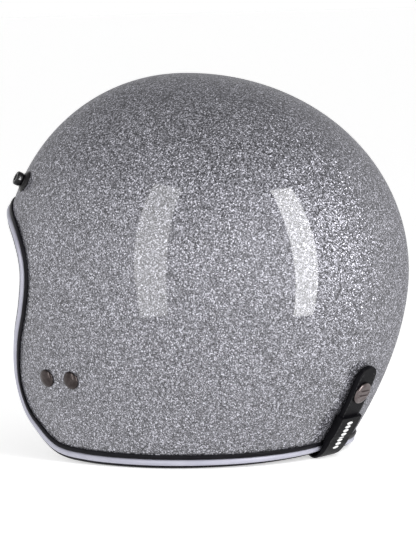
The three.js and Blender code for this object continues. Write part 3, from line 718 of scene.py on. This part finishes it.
def neck_roll():
    azimuth = 180 + NECK_REACH * np.linspace(-1, 1, 121)
    places = stations(np.stack([azimuth, np.full(len(azimuth), NECK_TOP)], 1), False)
    outline = rounded([
        (0.3, -11.3), (0.3, -25.6), (5, -29.2), (22, -28), (31.6, -22), (34.8, -14), (31.6, -11.3)],
        5.0, steps=6)
    seams = [(0.3, -11.3), (0.3, -25.6), (31.6, -11.3), (32.6, -21.4), (26.0, -27.0)]
    roll = padded_roll("neck_roll", places, outline, 9.0, 0.3, [(0.7, 24, 12), (0.3, 9, 13)], seams,
                       (1.6, 2.2), 2.4, 3.6, outline[:, 1] > -12.5, 80)
    feet, out, beyond = roll_piping("neck_piping", places, 8, (32.6, -21.4), 1.2, 80)
    line = feet + beyond * 26.0 - out * 26.6
    make("neck_stitches", *bead_run(line, -out, 3.2, 0.8, 1.8), THREAD)


def cheek_pad(side, sign):
    """A foam pad in a suede cover: a quilted middle, a plain border, and piping round the edge."""
    ring = np.array(CHEEK_OUTLINE, float)
    ring = spline(np.vstack([ring[-1:], ring, ring[:2]]), 10)
    count, rows, side_rows = len(ring), 34, 7

    def spread(s):
        """The outline moved towards the middle or away from it."""
        return [m + (axis - m) * s for m, axis in zip(CHEEK_MIDDLE, ring.T)]

    s = (np.arange(rows + 1) / rows)[:, None]
    azimuth, z = spread(s)
    crown = (1 - s ** 4) ** 0.55
    inside = 1 - np.clip((s - 0.66) / 0.05, 0, 1)
    diamonds = quilting((azimuth - CHEEK_MIDDLE[0]) * 1.9, z - CHEEK_MIDDLE[1], CHEEK_PITCH)
    puff = inside * diamonds + (1 - inside)
    border = np.sin(math.pi * np.clip((s - 0.66) / 0.34, 0, 1))
    on_seam = np.abs(s - CHEEK_SEAM) < 0.03
    depth = CHEEK_DEPTH + 7.2 * crown + 1.8 * puff * crown + 0.8 * border - 1.2 * on_seam
    front = at(sign * azimuth, z, -depth)
    back = at(sign * azimuth, z, np.full(depth.shape, -CHEEK_BACK))
    front = front + outward(sign * azimuth, level_at(azimuth, z)) * noise(front, 16, 3)[..., None] * 0.5
    wall = []
    for t in np.linspace(0, 1, side_rows + 2)[1:-1]:
        a, h = spread(1 + 0.035 * math.sin(math.pi * t))
        wall.append(at(sign * a, h, -(depth[-1] + (CHEEK_BACK - depth[-1]) * t)))
    points = np.vstack([front, wall, back[::-1]])
    held = np.zeros((len(points), count))
    held[:rows + 1] = np.clip(1.3 - 1.9 * np.where(inside > 0.5, diamonds, 1.0), 0, 1)
    held[:rows + 1][np.broadcast_to(on_seam, z.shape)] = 1
    held[rows - 1:rows + 2] = 1
    held[rows + side_rows:] = 1
    shape = simulated(points, grid_faces(len(points), count), held.ravel(), 2.6, 2.2)
    pad = make(f"{side}_cheek_pad", *shape, SUEDE, replaces=[f"{side}_cheek_pad"])
    rim = at(sign * ring[:, 0], ring[:, 1], -25.2)
    tangent = unit(np.roll(rim, -1, 0) - np.roll(rim, 1, 0))
    normal = outward(sign * ring[:, 0], level_at(ring[:, 0], ring[:, 1]))
    beside = unit(np.cross(tangent, normal))
    spokes = circle((0, 0), 1.0)
    cord = rim[:, None] + 1.2 * (spokes[:, :1] * beside[:, None] + spokes[:, 1:] * normal[:, None])
    make(f"{side}_cheek_piping", cord, tube_faces(count, 12, True), PIPING)
    line, facing = front[int(0.74 * rows)], -normal
    stitches = bead_run(np.vstack([line, line[:1]]), np.vstack([facing, facing[:1]]), 3.0, 0.7, 1.5)
    make(f"{side}_cheek_stitches", *stitches, THREAD)


# ---- rivets and snaps
def fitting(name, profile, place, look, body="helmet", ease=0.35, sides=48):
    """A turned fitting that stands for the CAD node of the same name."""
    points, faces = turned(rounded(profile, ease, closed=False), sides)
    make(name, moved(points, place), faces, look, body, [name], sharp=45)


def rivets():
    dome = [(5.85 * math.sin(a), 0.45 + 2.35 * math.cos(a)) for a in np.radians(np.arange(0, 89, 8))]
    profile = dome + [(5.85, 0.4), (5.6, 0.05), (2.5, 0.05), (2.5, -6.5), (3.9, -6.6), (3.9, -7.6), (0, -8)]
    for side, sign in (("left", 1), ("right", -1)):
        for end, lean in (("front", -1), ("rear", 1)):
            place = stand_on(sign * (STRAP_AZIMUTH + lean * RIVET_SPREAD), RIVET_Z)
            name = f"chin_rivet_{side}_{end}"
            points, faces = turned(profile, 56)
            make(name, moved(points, place), faces, GUNMETAL, replaces=[name], sharp=40)


def front_snaps():
    washer = [
        (2.6, 0.1), (7.4, 0.1), (7.3, 0.5), (5.7, 1.6), (5.1, 1.75), (4.9, 2.2), (2.6, 2.2), (2.6, 0.1)]
    stud = [
        (0, -3.2), (2.1, -3.2), (2.1, 2.2), (3.9, 2.2), (4.0, 2.9), (4.55, 3.3), (4.55, 6.1), (3.9, 6.9),
        (2.2, 6.9), (1.7, 6.2), (1.7, 4.4), (0, 4.2)]
    for name, azimuth, z in SNAPS:
        place = stand_on(azimuth, z)
        fitting(f"snap_washer_{name}", washer, place, BLACK_METAL, ease=0.15)
        fitting(f"snap_stud_{name}", stud, place, BLACK_METAL)
        ring = [(0.6 + 0.2 * math.cos(a), 0.2 * math.sin(a)) for a in np.radians(np.arange(0, 360, 30))]
        ball = [(0.3 * math.sin(a), 0.3 * math.cos(a)) for a in np.radians(np.arange(0, 181, 20))]
        parts = []
        for side in (-1, 1):
            sideways = np.array([[0, 0, side, side * 4.5], [0, 1, 0, 0], [-side, 0, 0, 4.7], [0, 0, 0, 1]])
            for points, faces in (turned(ring + ring[:1], 24), turned(ball, 16)):
                parts.append((moved(moved(points, sideways), place), faces))
        make(f"snap_eyes_{name}", *joined(parts), STEEL, sharp=60)


# ---- chin strap: its plane's u runs outwards and v up
STRAP_TURN = math.radians(5.5)
OUTWARDS = np.array([math.cos(STRAP_TURN), -math.sin(STRAP_TURN), 0.0])
STRAP_ORIGIN = at(STRAP_AZIMUTH, 42.2)
STRAP_ORIGIN = STRAP_ORIGIN - OUTWARDS * STRAP_ORIGIN[0]
STRAP_ORIGIN[2] = 0.0
STRAP_HINGE, FLOOR_PATH, LAYER = 74.0, 1.5, 2.0
BAR_Z = 40.35
RING_WIRE, RING_HALF_WIDTH, RING_REACH, RING_U = 1.4, 14.0, 17.0, 31.0
RING_HEIGHTS = {"lower": 4.1, "upper": 7.3}
FOLD, TAIL_END, LONG_END = -4.0, 62.0, 44.0


def strap_place(sign):
    """The strap's plane: X runs outwards, Y across the strap and Z up."""
    place = np.eye(4)
    out = OUTWARDS * [sign, 1, 1]
    place[:3, :3] = np.stack([out, np.cross([0.0, 0.0, 1.0], out), [0.0, 0.0, 1.0]], 1)
    place[:3, 3] = STRAP_ORIGIN * [sign, 1, 1]
    return place


def hung(z, depth):
    point = at(STRAP_AZIMUTH, z, -depth)
    return (point - STRAP_ORIGIN) @ OUTWARDS, point[2]


def webbing(name, path, place, replaces):
    """A strap along a path of (u, v), with soft edges and its own metres on it for the weave."""
    path = smooth_path(path, 1.0)
    normal = path_normals(path)
    half, deep = STRAP_WIDTH / 2, STRAP_THICKNESS / 2
    upper = [(half * t, deep * (1 - 0.12 * abs(t) ** 6)) for t in np.linspace(-1, 1, 15)]
    section = rounded(upper + [(x, -y) for x, y in upper[::-1]], 0.55 * deep)
    size = len(section)
    points = np.zeros((len(path), size, 3))
    points[..., 0] = path[:, None, 0] + normal[:, None, 0] * section[:, 1]
    points[..., 1] = section[:, 0]
    points[..., 2] = path[:, None, 1] + normal[:, None, 1] * section[:, 1]
    flat = moved(points, place)
    obj = make(name, flat, tube_faces(len(path), size, False), WEBBING, None, replaces, sharp=60)
    lookup = {tuple(np.round(p * MM, 7)): (r, w) for p, r, w in zip(
        flat.reshape(-1, 3), np.repeat(run_along(path), size), np.tile(section[:, 0], len(path)))}
    layer = obj.data.uv_layers.new(name="strap")
    lie = [lookup.get(tuple(np.round(np.array(v.co), 7)), (0, 0)) for v in obj.data.vertices]
    for loop in obj.data.loops:
        r, w = lie[loop.vertex_index]
        layer.data[loop.index].uv = (r * MM, w * MM)
    return obj


def box_stitch(name, place, near, far, height, body):
    """A stitched box with a cross in it, on the upper face of a strap."""
    half = 8.6
    corners = [(near, -half), (far, -half), (far, half), (near, half), (near, -half), (far, half),
               (far, -half), (near, half)]
    parts = []
    for (a, b), (c, d) in zip(corners[:-1], corners[1:]):
        t = np.linspace(0, 1, 30)[:, None]
        line = (1 - t) * [a, b, height] + t * [c, d, height]
        points, faces = bead_run(line, np.tile([0.0, 0.0, 1.0], (30, 1)), 1.9, 0.6, 0.7, 0.28)
        parts.append((moved(points, place), faces))
    make(name, *joined(parts), BLACK_THREAD, body)


def chin_straps():
    left, right = strap_place(1), strap_place(-1)
    upper = [hung(z, depth) for z, depth in [
        (27, 9.7), (BAR_Z, 9.7), (BAR_Z + 2.6, 9.4), (BAR_Z + 3.7, 8.4), (BAR_Z + 4, 7.2),
        (BAR_Z + 3.7, 6.1), (BAR_Z + 2.6, 5.3), (BAR_Z, 5.1), (36, 5.1), (28, 6), (19, 7.2), (12, 8.4),
        (5.5, 10.4)]]
    upper += [(STRAP_HINGE + 5, 3), (STRAP_HINGE + 0.4, FLOOR_PATH)]
    loop = [(RING_U + u, v) for u, v in [
        (0, FLOOR_PATH), (-3.4, 2.6), (-4.6, 5.7), (-3.4, 8.8), (0, 9.9), (5, 9.4), (12, 5.6), (17, 3.7),
        (28, FLOOR_PATH + LAYER)]]
    along = [(u, FLOOR_PATH) for u in np.arange(STRAP_HINGE - 4, RING_U + 4, -6)]
    short = webbing("short_chin_strap", upper + along + loop, left, ["left_strap_upper", "short_strap"])
    along = [(u, FLOOR_PATH) for u in np.arange(STRAP_HINGE - 4, LONG_END - 1, -6)]
    long = webbing("long_chin_strap", upper + along, right, ["right_strap_upper"])
    turn = np.radians(np.arange(-90, 91, 22.5))
    bend = [(FOLD - 1.0 * math.cos(a), FLOOR_PATH + LAYER / 2 + 1.02 * math.sin(a)) for a in turn]
    tail = [(u, FLOOR_PATH) for u in np.arange(LONG_END + 4, FOLD + 1, -5)] + bend
    tail += [(u, FLOOR_PATH + LAYER) for u in [*np.arange(FOLD + 4, TAIL_END, 5), TAIL_END]]
    free = webbing("chin_strap_tail", tail, right, ["long_strap", "strap_tail"])
    for strap, place, child in ((short, left, "short_strap"), (long, right, "long_strap")):
        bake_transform(strap)
    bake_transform(free)
    top = FLOOR_PATH + STRAP_THICKNESS / 2
    box_stitch("short_strap_stitches", left, RING_U + 18, RING_U + 27, top + LAYER + 0.05, "short_strap")
    box_stitch("long_strap_stitches", right, 42.5, 49.5, top, "long_strap")
    cap = [(0, 0.1), (5.6, 0.1), (5.9, 0.8), (5.2, 1.7), (3.9, 2.05), (3.4, 1.7), (0, 1.6)]
    stud = [(0, 0.1), (4, 0.1), (4, 0.8), (2, 1), (1.9, 1.8), (2.3, 2.2), (1.9, 2.75), (0, 2.8)]
    for name, profile, u, body, height in (("tail_snap_cap", cap, 55, "tail", top + LAYER),
                                           ("strap_snap_stud", stud, 68, "long_strap", top)):
        place = right.copy()
        place[:3, 3] = moved([u, 0, height], right)
        fitting(name, profile, place, GUNMETAL, body, ease=0.3)


def d_rings():
    turn = np.pi * (np.arange(25) / 24 - 0.5)
    reach = RING_REACH - 3
    bow = [(RING_U - 3 - reach * math.cos(a), RING_HALF_WIDTH * math.sin(a)) for a in turn]
    corner = RING_HALF_WIDTH - 1.5
    flat = [(RING_U, y) for y in np.linspace(corner, -corner, 9)]
    ring = np.array(bow + flat)
    ring = spline(np.vstack([ring[-1:], ring, ring[:2]]), 3)
    tangent = unit(np.roll(ring, -1, 0) - np.roll(ring, 1, 0))
    side = np.stack([tangent[:, 1], -tangent[:, 0]], 1)
    around = 2 * math.pi * np.arange(16) / 16
    for name, height in RING_HEIGHTS.items():
        points = np.zeros((len(ring), 16, 3))
        points[..., :2] = ring[:, None] + side[:, None] * (RING_WIRE * np.cos(around))[:, None]
        points[..., 2] = height + RING_WIRE * np.sin(around)
        make(f"d_ring_{name}", moved(points, strap_place(1)), tube_faces(len(ring), 16, True), STEEL,
             f"ring_{name}", [f"d_ring_{name}"], sharp=60)


def strap_hangers():
    """The stamped plates stay as they were packed, with a broken edge and a plated finish."""
    for side in ("left", "right"):
        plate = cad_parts[f"{side}_strap_hanger"]
        plate.data.materials.clear()
        plate.data.materials.append(STEEL[0])
        edge = plate.modifiers.new("broken_edge", "BEVEL")
        edge.width, edge.segments, edge.limit_method = 0.0003, 2, "ANGLE"


# ---- rear goggle strap
HEM_PATH = [
    (1, 4.4), (4.6, 4.3), (8.2, 2.8), (9.9, 0.4), (10.2, -3), (9, -7.6), (4, -9.4), (-2, -9), (-10, -8),
    (-18, -7.2), (-26, -7),
]


def behind(z, height):
    return at(180, z, height)[1:]


def hem_points():
    """The strap's way under the trim, in (y, z)."""
    foot, out, beyond = stations(np.array([(179, NAPE_Z), (180, NAPE_Z), (181, NAPE_Z)], float), False)
    points = foot[1] + beyond[1] * np.array(HEM_PATH)[:, :1] + out[1] * np.array(HEM_PATH)[:, 1:]
    return [tuple(p[1:]) for p in points]


def leather_strip(name, path, thickness, half_width, edge=0.9, body=None):
    """A strip along a (y, z) path, its inner face on the path. Its outer face bulges a little, and its
    thickness and half width are functions of the distance along it."""
    path = smooth_path(path, 0.8)
    run, normal = run_along(path), path_normals(path)
    lane = np.linspace(-1, 1, 25)
    thick = thickness(run)
    points = []
    for p, n, t, w in zip(path, normal, thick, half_width(run)):
        eased = np.minimum(1, (1 - np.abs(lane)) * w / edge)
        round_off = 0.5 * np.sqrt(np.clip(eased * (2 - eased), 0, 1))
        lift, foot = t * (0.5 + round_off) * (1 + 0.03 * (1 - lane ** 2)), t * (0.5 - round_off)
        ring = [(lane[k] * w, *(p + n * lift[k])) for k in range(len(lane))]
        ring += [(lane[k] * w, *(p + n * foot[k])) for k in range(len(lane) - 2, 0, -1)]
        points.append(ring)
    faces = tube_faces(len(path), len(points[0]), False)
    return make(name, points, faces, LEATHER, body, [name], sharp=60), path, normal, run, thick


def edge_stitches(strip, inset, rise, use, length, width, height):
    """A row of stitches along each side of a strip's outer face."""
    _, path, normal, run, thick = strip
    face = path + normal * (thick * rise)[:, None]
    normals = np.stack([0 * run, *normal.T], 1)[use]
    return joined([bead_run(np.stack([side * inset, *face.T], 1)[use], normals, length, width, 0.9, height)
                   for side in (-1, 1)])


def goggle_blend(obj):
    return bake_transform(obj)


def goggle_strap():
    half, power = GOGGLE_HALF_WIDTH, 2.3

    def tongue(run):
        left = np.clip(run + 0.02, 0, half)
        return np.maximum(half * (1 - (1 - left / half) ** power) ** (1 / power), 0.4)

    path = [behind(z, 1.75) for z in np.linspace(GOGGLE_TOP_Z, GOGGLE_LOW_Z, 12)]
    strip = leather_strip("goggle_strap", path, lambda run: np.full(len(run), GOGGLE_THICKNESS), tongue,
                          0.7, "goggle_strap")
    run = strip[3]
    inset = np.maximum(tongue(run - 2.2) - 2.0, 0.0)
    stitches = edge_stitches(strip, inset, 1.02, run > 3.2, 2.2, 0.5, 0.2)
    make("goggle_strap_stitches", *stitches, BLACK_THREAD, "goggle_strap")


def sleeve_path():
    """The inner face of the sleeve, from its top down, under the trim and up inside."""
    inner = [tuple(behind(z, 1.7)) for z in np.linspace(SLEEVE_TOP_Z, HEM_Z + 1.0, 6)]
    hem = np.array(hem_points())
    return inner + [tuple(p) for p in hem - path_normals(hem) * 0.9]


def goggle_sleeve():
    """The sleeve, and its hem, which stays under the trim."""
    path = sleeve_path()
    leather_strip("goggle_strap_hem", path[6:], lambda run: np.full(len(run), HEM_THICKNESS),
                  lambda run: np.full(len(run), HEM_HALF_WIDTH), body="helmet")
    strip = leather_strip(
        "goggle_sleeve", path[:9],
        lambda run: np.interp(run, [0, 14, 22, 28, 34, 60], [5.0, 5.0, 4.2, 2.3, 1.8, 1.8]),
        lambda run: np.interp(run, [0, 0.5, 30, 42, 90], [11.2, 11.6, 11.4, 10.4, 10.2]))
    sleeve, fine, normal, run, thick = strip
    goggle_blend(sleeve)
    face = fine + normal * (thick * 1.025)[:, None]
    marks = []
    for start in np.arange(3.0, 24.5, 2.9):
        s = start + np.linspace(0, 2.2, 7)
        wide = 2.9 * np.sin(math.pi * np.linspace(0.12, 0.88, 7))
        ring = []
        for m, n, w in zip(sampled(s, run, face), sampled(s, run, normal), wide):
            low, high = m - n * 0.3, m + n * 0.16
            ring.append([(-w, *low), (-w, *high), (w, *high), (w, *low)])
        marks.append((np.array(ring), tube_faces(7, 4, False)))
    goggle_blend(make("sleeve_print", *joined(marks), PRINT, None, sharp=40))
    use = (run > 1.5) & (run < 26)
    stitches = edge_stitches(strip, np.full(len(run), 9.6), 1.01, use, 2.0, 0.45, 0.16)
    goggle_blend(make("sleeve_stitches", *stitches, BLACK_THREAD, None))


def rear_fittings():
    place = stand_on(180, GOGGLE_SNAP_Z)
    stud = [
        (0, -3.2), (2.1, -3.2), (2.1, 0.1), (5.5, 0.1), (5.5, 0.8), (2.9, 1.1), (2.9, 2.6), (3.2, 3.1),
        (2.8, 3.8), (0, 3.9)]
    socket = [(3.6, 1.3), (6.2, 1.3), (6.2, 2.1), (4.4, 2.5), (3.6, 2.5), (3.6, 1.3)]
    cap = [(0, 4.4), (7.2, 4.6), (7.5, 5.2), (7.3, 6.0), (6.5, 6.6), (5.4, 6.75), (5.1, 6.5), (0, 6.6)]
    anchor = [(0, 0.9), (4, 0.9), (4, 0.2), (2.1, 0.2), (2.1, -8.4), (4, -8.4), (4, -9.2), (0, -9.5)]
    fitting("goggle_stud", stud, place, GUNMETAL, ease=0.25)
    fitting("goggle_snap_socket", socket, place, GUNMETAL, "goggle_strap", ease=0.2)
    fitting("goggle_snap_cap", cap, place, BRONZE, "goggle_strap", ease=0.4, sides=64)
    fitting("goggle_anchor_rivet", anchor, stand_on(180, ANCHOR_Z), GUNMETAL, ease=0.25)
    bars = []
    for offset in (-1.7, 1.7):
        reach = math.sqrt(5.0 ** 2 - offset ** 2)
        x = np.linspace(-reach, reach, 24)
        ring = []
        for a, h in zip(x, 6.45 + 0.75 * np.sqrt(np.clip(1 - (x / (reach + 0.01)) ** 8, 0, 1))):
            profile = [(-0.8, 6.3), (-0.55, h - 0.1), (-0.2, h), (0.2, h), (0.55, h - 0.1), (0.8, 6.3)]
            ring.append([(a, offset + y, z) for y, z in profile])
        bars.append((moved(np.array(ring), place), tube_faces(24, 6, False)))
    make("snap_cap_bars", *joined(bars), BRONZE, "goggle_strap", sharp=50)


# ---- camera, floor and light
CAMERA_TARGET = Vector((0, CROWN_Y, 120)) * MM
CAMERA_AZIMUTH, CAMERA_ELEVATION, CAMERA_ROLL = math.radians(128), math.radians(5), math.radians(-1.7)
CAMERA_DISTANCE, CAMERA_LENS, CAMERA_SHIFT = 2.0, 203.6, (0.0412, -0.0128)
LIGHT_DISTANCE = 1.2
FLOOR_REACH, FLOOR_Z = 40, -0.0002


def direction(azimuth, elevation):
    """A direction from the helmet: azimuth 0 is the front and 90 the wearer's left."""
    flat = math.cos(elevation)
    return Vector((math.sin(azimuth) * flat, -math.cos(azimuth) * flat, math.sin(elevation)))


def camera():
    data = bpy.data.cameras.new("camera")
    data.lens, data.sensor_width = CAMERA_LENS, 36
    data.shift_x, data.shift_y = CAMERA_SHIFT
    obj = add("camera", data)
    back = direction(CAMERA_AZIMUTH, CAMERA_ELEVATION)
    right = Vector((math.cos(CAMERA_AZIMUTH), math.sin(CAMERA_AZIMUTH), 0))
    up = back.cross(right)
    c, s = math.cos(CAMERA_ROLL), math.sin(CAMERA_ROLL)
    axes = Matrix((right * c + up * s, up * c - right * s, back)).transposed()
    obj.matrix_world = Matrix.Translation(CAMERA_TARGET + back * CAMERA_DISTANCE) @ axes.to_4x4()
    bpy.context.scene.camera = obj


def softbox(name, azimuth, elevation, width, height, power):
    """A rectangular light that faces the helmet."""
    data = bpy.data.lights.new(name, "AREA")
    data.shape, data.size, data.size_y, data.energy = "RECTANGLE", width, height, power
    obj = add(name, data)
    towards = direction(math.radians(azimuth), math.radians(elevation))
    obj.location = CAMERA_TARGET + towards * LIGHT_DISTANCE
    obj.rotation_mode = "QUATERNION"
    obj.rotation_quaternion = towards.to_track_quat("Z", "Y")
    obj.visible_camera = False


def studio():
    """A pale floor that glows a little and isn't reflected, a graded sky and two strip lights."""
    mesh = bpy.data.meshes.new("floor")
    corners = [(x * FLOOR_REACH, y * FLOOR_REACH, 0) for x, y in ((-1, -1), (1, -1), (1, 1), (-1, 1))]
    mesh.from_pydata(corners, [], [(0, 1, 2, 3)])
    floor = add("floor", mesh)
    floor.location.z = FLOOR_Z
    mesh.materials.append(start_material(
        "floor", Roughness=0.8, Specular_IOR_Level=0.2, Base_Color=(0.95, 0.95, 0.95, 1),
        Emission_Color=(1, 1, 1, 1), Emission_Strength=0.5)[0])
    floor.visible_glossy = False
    world = bpy.data.worlds.new("studio")
    bpy.context.scene.world = world
    world.use_nodes = True
    tree = world.node_tree
    sky = tree.nodes["Background"]
    up = node(tree, "SeparateXYZ", {"Vector": node(tree, "TexCoord").outputs["Generated"]}).outputs["Z"]
    feed(sky, Color=ramp(up, (0.0, 1.0), (0.3, 0.95), (0.72, 0.33), (1.0, 0.3)))
    sky.inputs["Strength"].default_value = 1.0
    softbox("left_strip", 85, 15, 0.29, 1.4, 4.6)
    softbox("right_strip", 165, 13, 0.34, 1.7, 15)
    bpy.context.scene.view_settings.view_transform = "Standard"


camera()
dome("shell", shell_edge, 84, 0.0, WALL, PAINT, ["outer_shell"], 50)
edge_trim()
dome("impact_liner", foam_edge, 40, FOAM_OUT, FOAM_IN, FOAM, ["impact_liner"], 40)
crown_liner()
brow_roll()
cheek_pad("left", 1)
cheek_pad("right", -1)
neck_roll()
rivets()
front_snaps()
chin_straps()
d_rings()
strap_hangers()
goggle_strap()
goggle_sleeve()
rear_fittings()
studio()
